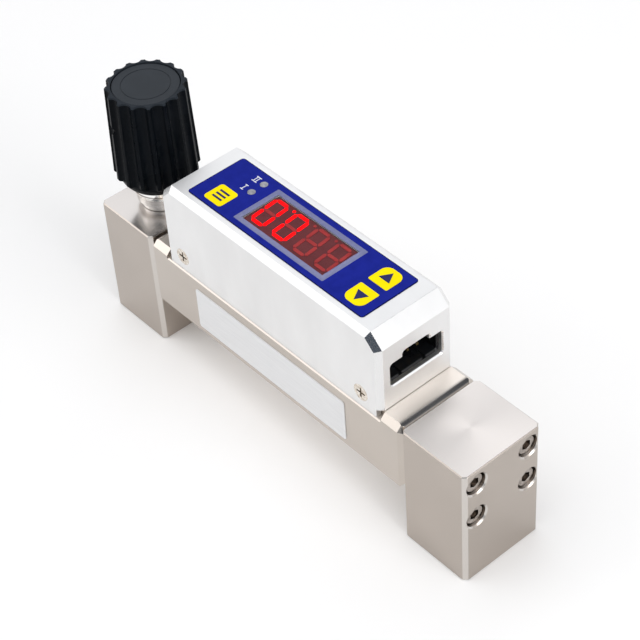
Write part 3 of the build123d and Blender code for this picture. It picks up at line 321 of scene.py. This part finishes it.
def recess_shaded_screw_steel():
    """Bright socket screws deep in the blocks' counterbores, painted dark as painted shade of the
    counterbores.
    """
    s = Shader("recess_shaded_screw_steel")
    s.set(Metallic=1.0)
    stain = s.noise(900, 3)
    # Painted shade: a dark steel tone stands for the shade deep in the counterbores.
    s.colour(s.ramp(stain, [(0.35, (0.260, 0.228, 0.202)), (0.65, (0.460, 0.415, 0.378))]))
    s.roughness(s.span(stain, 0.12, 0.20))
    s.bump(s.noise(3500, 3), 0.002 * MM, 0.4, SMALL_EDGE)
    return s.material


def inner_steel():
    """Plain machined steel for the pieces inside."""
    s = Shader("inner_steel")
    s.set(Metallic=1.0)
    grain = s.noise(1800, 3, (1, 1, 0.1))
    s.colour(s.ramp(grain, [(0.3, (0.50, 0.49, 0.48)), (0.7, (0.62, 0.61, 0.60))]))
    s.roughness(s.span(grain, 0.28, 0.40))
    s.bump(grain, 0.004 * MM, 0.5)
    return s.material


def valve_chrome():
    """Polished turned steel: bright and faintly warm, with soft bands round it, whose dark and
    bright rings are painted reflections.
    """
    s = Shader("valve_chrome")
    s.set(Metallic=1.0)
    rings = s.noise(900, 2, (0.02, 0.02, 1))
    # Painted reflection: the dark and bright bands stand for the surroundings mirrored in the
    # polished collar; the roughness follows the same bands.
    s.colour(s.ramp(rings, [(0.38, (0.230, 0.205, 0.185)),
                            (0.45, (0.880, 0.855, 0.825)),
                            (0.62, (0.970, 0.960, 0.945))]))
    s.roughness(s.span(rings, 0.04, 0.09))
    s.soften(VALVE_EDGE)
    return s.material


def post_brass():
    """Brass with a light tarnish."""
    s = Shader("post_brass")
    s.set(Metallic=1.0)
    tarnish = s.noise(600, 3)
    s.colour(s.ramp(tarnish, [(0.35, (0.58, 0.40, 0.16)), (0.65, (0.78, 0.58, 0.27))]))
    s.roughness(s.span(tarnish, 0.38, 0.24))
    s.bump(s.noise(3000, 2), 0.004 * MM, 0.4)
    return s.material


# ---- plastics, rubber and films ----

def moulded(name, dark, light, rough, grain_scale, grain_height, **settings):
    """A moulded or printed surface: two close tones, a roughness range and a fine grain."""
    s = Shader(name)
    s.set(**settings)
    tone = s.noise(grain_scale / 12, 3)
    s.colour(s.ramp(tone, [(0.35, dark), (0.65, light)]))
    s.roughness(s.span(tone, *rough))
    s.bump(s.noise(grain_scale, 2), grain_height, 0.6, SMALL_EDGE)
    return s.material


def knob_black():
    """Satin black phenolic; the up-facing rim round the cap is painted greyer as a painted
    highlight.
    """
    s = Shader("knob_black")
    s.set(Specular_IOR_Level=0.04)
    tone = s.noise(110, 3)
    grip = s.ramp(tone, [(0.35, (0.0022, 0.0032, 0.0046)), (0.65, (0.0036, 0.0050, 0.0070))])
    # Painted highlight: faces above KNOB_RIM_Z are painted slate grey for the light falling on the
    # knob's top.
    rim = s.maths("GREATER_THAN", s.axes(s.places)["Z"], KNOB_RIM_Z)
    s.colour(s.blend(rim, grip, (0.022, 0.027, 0.034)))
    s.roughness(s.span(tone, 0.24, 0.30))
    s.bump(s.noise(4000, 2), 0.0015 * MM, 0.6, KNOB_EDGE)
    return s.material


def cap_slate():
    """The knob's cap: a greyer, matter black."""
    return moulded("cap_slate", (0.0160, 0.0210, 0.0275), (0.0215, 0.0270, 0.0345),
                   (0.46, 0.52), 2400, 0.006 * MM, Specular_IOR_Level=0.20)


def film_blue():
    """Deep blue screen-printed polyester, darker along its cut edge."""
    s = Shader("film_blue")
    s.set(Specular_IOR_Level=0.02)
    tone = s.noise(350, 3)
    ink = s.ramp(tone, [(0.35, (0.0085, 0.0160, 0.2250)), (0.65, (0.0105, 0.0190, 0.2600))])
    edge = s.outside_box(FILM_HALF_LENGTH - FILM_EDGE, FILM_HALF_WIDTH - FILM_EDGE)
    s.colour(s.blend(edge, ink, (0.004, 0.006, 0.070)))
    s.roughness(s.span(tone, 0.34, 0.40))
    s.bump(s.noise(4200, 2), 0.001 * MM, 0.6)
    return s.material


def key_yellow():
    """Yellow printed key areas."""
    return moulded("key_yellow", (0.950, 0.740, 0.002), (0.980, 0.790, 0.003), (0.36, 0.42),
                   4200, 0.001 * MM, Specular_IOR_Level=0.02)


def symbol_navy():
    """Dark blue ink on the keys."""
    return moulded("symbol_navy", (0.022, 0.024, 0.105), (0.030, 0.032, 0.130), (0.40, 0.48),
                   5000, 0.002 * MM, Specular_IOR_Level=0.05)


def mark_white():
    """Pale ink beside the lights."""
    return moulded("mark_white", (0.60, 0.61, 0.70), (0.74, 0.75, 0.82), (0.40, 0.48),
                   5000, 0.003 * MM)


def light_grey():
    """The smoky light pipes' domes."""
    return moulded("light_grey", (0.230, 0.235, 0.265), (0.330, 0.335, 0.360), (0.16, 0.24),
                   1500, 0.004 * MM, Coat_Weight=0.4)


def lamp_white():
    """The lamps' pale encapsulant."""
    return moulded("lamp_white", (0.70, 0.70, 0.66), (0.82, 0.82, 0.78), (0.3, 0.4),
                   2500, 0.003 * MM)


def display_black():
    """The display's face: dark red-brown filter resin."""
    return moulded("display_black", (0.1150, 0.0240, 0.0235), (0.1400, 0.0300, 0.0290),
                   (0.40, 0.46), 1800, 0.002 * MM, Specular_IOR_Level=0.05)


def segment_dark():
    """Unlit segments: dull red resin."""
    return moulded("segment_dark", (0.300, 0.028, 0.026), (0.370, 0.038, 0.034), (0.40, 0.46),
                   2600, 0.002 * MM, Specular_IOR_Level=0.05)


def segment_lit():
    """Lit segments: glowing red, a little uneven along each bar."""
    s = Shader("segment_lit")
    tone = s.noise(700, 2)
    glow = s.ramp(tone, [(0.3, (1.0, 0.000, 0.000)), (0.7, (1.0, 0.004, 0.003))])
    s.colour(glow)
    s.join(glow, s.surface.inputs["Emission Color"])
    s.set(Emission_Strength=1.0, Specular_IOR_Level=0.0)
    s.roughness(s.span(tone, 0.35, 0.45))
    return s.material


def window_clear():
    """Clear film over the display; its rim, over bare metal, looks lavender."""
    s = Shader("window_clear")
    haze = s.noise(900, 2)
    s.colour(s.ramp(haze, [(0.3, (0.235, 0.255, 0.460)), (0.7, (0.270, 0.290, 0.510))]))
    s.set(Specular_IOR_Level=0.02)
    rim = s.outside_box(CUTOUT_HALF_LENGTH, CUTOUT_HALF_WIDTH)
    s.join(s.span(rim, WINDOW_ALPHA, WINDOW_RIM_ALPHA, 0, 1), s.surface.inputs["Alpha"])
    s.roughness(s.span(haze, 0.20, 0.28))
    s.bump(s.noise(2600, 2), 0.001 * MM, 0.3)
    s.material.surface_render_method = "BLENDED"
    return s.material


def label_silver():
    """The bare rating plate: pale silver film with fine brushing along it."""
    s = Shader("label_silver")
    s.set(Metallic=0.35)
    brush = s.noise(3200, 3, (0.04, 1, 1))
    s.colour(s.ramp(brush, [(0.3, (0.740, 0.742, 0.748)), (0.7, (0.820, 0.820, 0.824))]))
    s.roughness(s.span(brush, 0.34, 0.44))
    s.bump(brush, 0.003 * MM, 0.4, LABEL_EDGE)
    return s.material


def socket_black():
    """The connector's black glass-filled nylon."""
    return moulded("socket_black", (0.0045, 0.0050, 0.0058), (0.0085, 0.0095, 0.0110),
                   (0.24, 0.34), 2200, 0.004 * MM, Specular_IOR_Level=0.35)


def chip_black():
    """Black moulded packages."""
    return moulded("chip_black", (0.012, 0.012, 0.013), (0.022, 0.022, 0.024), (0.45, 0.6),
                   3000, 0.006 * MM)


def board_green():
    """Green solder resist over faint copper areas."""
    s = Shader("board_green")
    s.set(Coat_Weight=0.3)
    cells = s.add("ShaderNodeTexVoronoi", feature="F1", distance="MANHATTAN")
    cells.inputs["Scale"].default_value = 420
    s.join(s.places, cells.inputs["Vector"])
    copper = cells.outputs["Distance"]
    s.colour(s.ramp(copper, [(0.25, (0.006, 0.090, 0.028)), (0.6, (0.010, 0.150, 0.050))]))
    s.roughness(s.span(s.noise(500, 2), 0.28, 0.42))
    s.bump(copper, 0.02 * MM, 0.4)
    return s.material


def seal_rubber():
    """Matt black rubber."""
    return moulded("seal_rubber", (0.012, 0.012, 0.012), (0.022, 0.022, 0.022), (0.6, 0.75),
                   2600, 0.010 * MM)


def seat_polymer():
    """Off-white valve-seat polymer."""
    return moulded("seat_polymer", (0.66, 0.63, 0.55), (0.76, 0.73, 0.66), (0.36, 0.48),
                   1600, 0.006 * MM)


def plunger_plastic():
    """Cream plungers."""
    return moulded("plunger_plastic", (0.60, 0.58, 0.52), (0.70, 0.68, 0.62), (0.36, 0.48),
                   1600, 0.006 * MM)


def ceramic_blade():
    """White alumina with a fine sintered grain."""
    return moulded("ceramic_blade", (0.76, 0.75, 0.72), (0.86, 0.85, 0.83), (0.42, 0.55),
                   4000, 0.006 * MM)


def silicon():
    """The sensing chip: dark mirror-like silicon."""
    return moulded("silicon", (0.050, 0.055, 0.085), (0.075, 0.080, 0.120), (0.10, 0.18),
                   2000, 0.002 * MM, Metallic=0.6)


FINISHES = [block_steel, cover_aluminium, screw_steel, inner_steel, valve_chrome, post_brass,
            knob_black, cap_slate, film_blue, key_yellow, symbol_navy, mark_white, light_grey,
            lamp_white, display_black, segment_dark, segment_lit, window_clear, label_silver,
            socket_black, chip_black, board_green, seal_rubber, seat_polymer, plunger_plastic,
            ceramic_blade, silicon]


def dress(nodes):
    """Gives every CAD piece the finish of its own material slot, then four pieces their own."""
    finishes = {make.__name__: make() for make in FINISHES}
    for name, node in nodes.items():
        for place in node.material_slots:
            place.material = finishes[place.material.name]
    nodes["flow_body"].material_slots[0].material = bar_steel()
    nodes["valve_block"].material_slots[0].material = valve_block_steel()
    dark_steel = recess_shaded_screw_steel()
    for name in ("inlet_block_screws", "valve_block_screws"):
        nodes[name].material_slots[0].material = dark_steel
    return finishes


# ---- pieces that the CAD leaves to this script ----

def port_thread(name, centre, finish):
    """The thread in a port: a helical ridge on the bore's wall."""
    mesh = bmesh.new()
    turns = PORT_DEPTH / THREAD_PITCH - 2
    count = int(turns * THREAD_STEPS)
    rows = []
    for step in range(count + 1):
        angle = 2 * math.pi * step / THREAD_STEPS
        middle = THREAD_START + THREAD_PITCH * (0.5 + step / THREAD_STEPS)
        turns_to_an_end = min(step, count - step) / THREAD_STEPS
        crest = PORT_RADIUS - THREAD_DEPTH * min(1.0, turns_to_an_end / RUN_OUT)
        profile = ((PORT_RADIUS, -ROOT_SHARE), (crest, -CREST_SHARE),
                   (crest, CREST_SHARE), (PORT_RADIUS, ROOT_SHARE))
        rows.append([mesh.verts.new((centre[0] + radius * math.cos(angle),
                                     centre[1] + radius * math.sin(angle),
                                     middle + share * THREAD_PITCH))
                     for radius, share in profile])
    for low, high in zip(rows, rows[1:]):
        for side in range(len(low) - 1):
            mesh.faces.new((low[side], low[side + 1], high[side + 1], high[side]))
    return finished_piece(name, mesh, finish)


def finished_piece(name, mesh, finish):
    """Turns a bmesh into an object with its material."""
    bmesh.ops.recalc_face_normals(mesh, faces=mesh.faces)
    data = bpy.data.meshes.new(name)
    mesh.to_mesh(data)
    mesh.free()
    data.materials.append(finish)
    piece = bpy.data.objects.new(name, data)
    bpy.context.scene.collection.objects.link(piece)
    return piece


def add_threads(finishes):
    """Threads in both ports."""
    for name, node in (("inlet_thread", "inlet_block"), ("outlet_thread", "valve_block")):
        low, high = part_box(node)
        centre = ((low[0] + high[0]) / 2, (low[1] + high[1]) / 2)
        piece = port_thread(name, centre, finishes["block_steel"])
        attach(piece, "controller")


# ---- studio ----

def floor_finish():
    """A pale matt sweep."""
    s = Shader("floor_pale")
    tone = s.noise(3, 2)
    s.colour(s.ramp(tone, [(0.3, (0.930, 0.922, 0.912)), (0.7, (0.945, 0.938, 0.930))]))
    s.set(Roughness=0.85, Specular_IOR_Level=0.1)
    return s.material


def make_floor():
    """The floor that the blocks stand on."""
    mesh = bmesh.new()
    half = FLOOR_SIZE / 2
    corners = ((-half, -half, 0), (half, -half, 0), (half, half, 0), (-half, half, 0))
    mesh.faces.new([mesh.verts.new(corner) for corner in corners])
    finished_piece("floor", mesh, floor_finish())


def make_sky():
    """A bright even studio with one bright and two dark patches, which only the object's gloss
    shows: behind it the backdrop is plain."""
    world = bpy.data.worlds.new("studio")
    bpy.context.scene.world = world
    world.use_nodes = True
    tree = world.node_tree
    background = tree.nodes["Background"]
    background.inputs["Strength"].default_value = SKY_STRENGTH
    direction = tree.nodes.new("ShaderNodeTexCoord").outputs["Generated"]
    upward = tree.nodes.new("ShaderNodeSeparateXYZ")
    tree.links.new(direction, upward.inputs["Vector"])
    dome = tree.nodes.new("ShaderNodeMix")
    dome.data_type = "RGBA"
    dome.inputs["A"].default_value = HORIZON
    dome.inputs["B"].default_value = ZENITH
    tree.links.new(upward.outputs["Z"], dome.inputs["Factor"])
    colour = dome.outputs["Result"]
    for patch in SKY_PATCHES:
        colour = patched(tree, colour, direction, *patch)
    backdrop = tree.nodes.new("ShaderNodeMix")
    backdrop.data_type = "RGBA"
    backdrop.inputs["B"].default_value = BACKDROP
    seen_straight = tree.nodes.new("ShaderNodeLightPath").outputs["Is Camera Ray"]
    tree.links.new(seen_straight, backdrop.inputs["Factor"])
    tree.links.new(colour, backdrop.inputs["A"])
    tree.links.new(backdrop.outputs["Result"], background.inputs["Color"])


def patched(tree, colour, direction, toward, outer, inner, tone):
    """The sky's colour with one soft round patch of another tone, whose radii are in degrees."""
    closeness = tree.nodes.new("ShaderNodeVectorMath")
    closeness.operation = "DOT_PRODUCT"
    closeness.inputs[1].default_value = Vector(toward).normalized()
    tree.links.new(direction, closeness.inputs[0])
    fade = tree.nodes.new("ShaderNodeMapRange")
    fade.inputs["From Min"].default_value = math.cos(math.radians(outer))
    fade.inputs["From Max"].default_value = math.cos(math.radians(inner))
    tree.links.new(closeness.outputs["Value"], fade.inputs["Value"])
    mix = tree.nodes.new("ShaderNodeMix")
    mix.data_type = "RGBA"
    mix.inputs["B"].default_value = tone
    tree.links.new(colour, mix.inputs["A"])
    tree.links.new(fade.outputs["Result"], mix.inputs["Factor"])
    return mix.outputs["Result"]


def soft_box(name, place, size, power):
    """A square area light turned to the object."""
    light = bpy.data.lights.new(name, "AREA")
    light.shape = "SQUARE"
    light.size = size
    light.energy = power
    lamp = bpy.data.objects.new(name, light)
    lamp.location = place
    toward = Vector(LIGHT_AIM) - Vector(place)
    lamp.rotation_euler = toward.to_track_quat("-Z", "Y").to_euler()
    bpy.context.scene.collection.objects.link(lamp)


def make_lights():
    """A broad light overhead, and one from each side."""
    for light in LIGHTS:
        soft_box(*light)


def make_camera():
    """The camera at the chosen viewpoint."""
    data = bpy.data.cameras.new("view")
    data.lens = LENS_MM
    data.sensor_width = SENSOR_MM
    camera = bpy.data.objects.new("view", data)
    back = VIEW_RIGHT.cross(-VIEW_DOWN)
    axes = Matrix((VIEW_RIGHT, -VIEW_DOWN, back)).transposed()
    camera.matrix_world = Matrix.Translation(EYE) @ axes.to_4x4()
    bpy.context.scene.collection.objects.link(camera)
    bpy.context.scene.camera = camera


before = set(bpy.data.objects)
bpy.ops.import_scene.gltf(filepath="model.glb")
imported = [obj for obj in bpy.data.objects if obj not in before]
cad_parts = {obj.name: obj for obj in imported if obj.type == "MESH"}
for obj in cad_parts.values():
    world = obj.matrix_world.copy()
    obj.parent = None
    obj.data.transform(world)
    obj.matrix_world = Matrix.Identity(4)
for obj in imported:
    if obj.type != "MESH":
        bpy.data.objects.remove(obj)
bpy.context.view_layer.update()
finishes = dress(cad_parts)
add_threads(finishes)
make_floor()
make_sky()
make_lights()
make_camera()
bpy.context.scene.view_settings.view_transform = "Standard"
